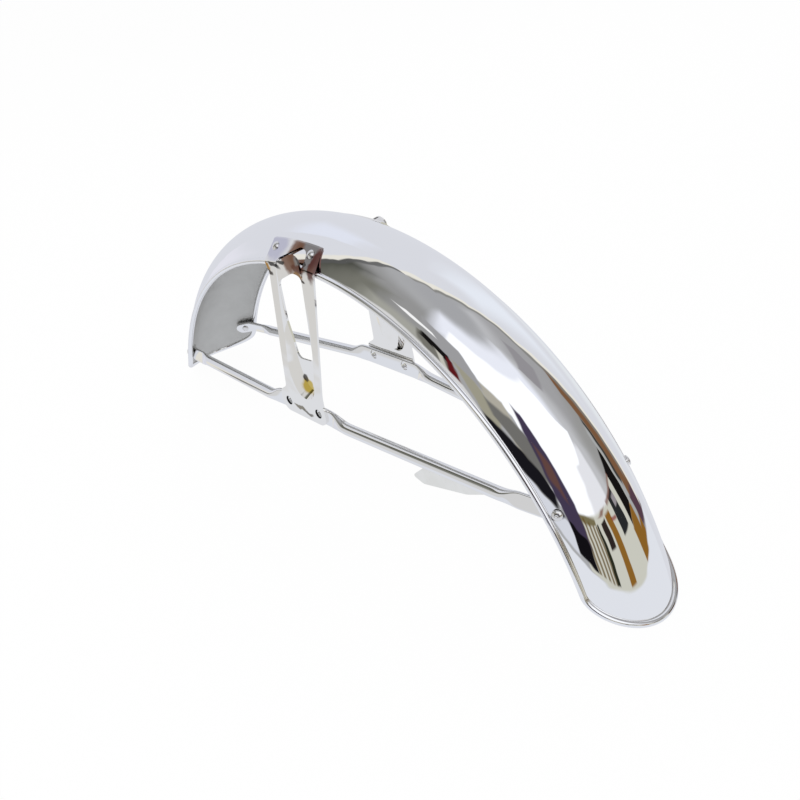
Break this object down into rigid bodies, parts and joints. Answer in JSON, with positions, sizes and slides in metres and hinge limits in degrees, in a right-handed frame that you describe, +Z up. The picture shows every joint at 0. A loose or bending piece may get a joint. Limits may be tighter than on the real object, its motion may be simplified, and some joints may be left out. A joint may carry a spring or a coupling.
{
  "type": "motorcycle front mudguard",
  "caption": "Chromed front mudguard: a deep domed blade with a rolled bead, a pressed fork bracket and a tube stay riveted to each side, and a leaf guide under one stay.",
  "frame": {"origin": "on the surface that the two ends stand on, under the middle of the mudguard", "axes": "+X forward to the more rounded end, +Y to the rider's left, +Z up"},
  "size_m": [0.6374, 0.1138, 0.2378],
  "materials": {
    "blade_chrome": "polished chrome plate outside, satin inside",
    "bracket_chrome": "polished chrome plate on pressed steel",
    "stay_chrome": "polished chrome plate on steel tube",
    "guide_chrome": "polished chrome plate",
    "rivet_steel": "polished chrome plate"
  },
  "bodies": {
    "root": {"mudguard_blade": "blade_chrome", "right_fork_bracket": "bracket_chrome", "left_fork_bracket": "bracket_chrome", "right_stay": "stay_chrome", "left_stay": "stay_chrome", "cable_guide": "guide_chrome", "right_front_bracket_rivet": "rivet_steel", "right_front_stay_rivet": "rivet_steel", "right_rear_bracket_rivet": "rivet_steel", "right_rear_stay_rivet": "rivet_steel", "left_front_bracket_rivet": "rivet_steel", "left_front_stay_rivet": "rivet_steel", "left_rear_bracket_rivet": "rivet_steel", "left_rear_stay_rivet": "rivet_steel"}
  },
  "joints": []
}
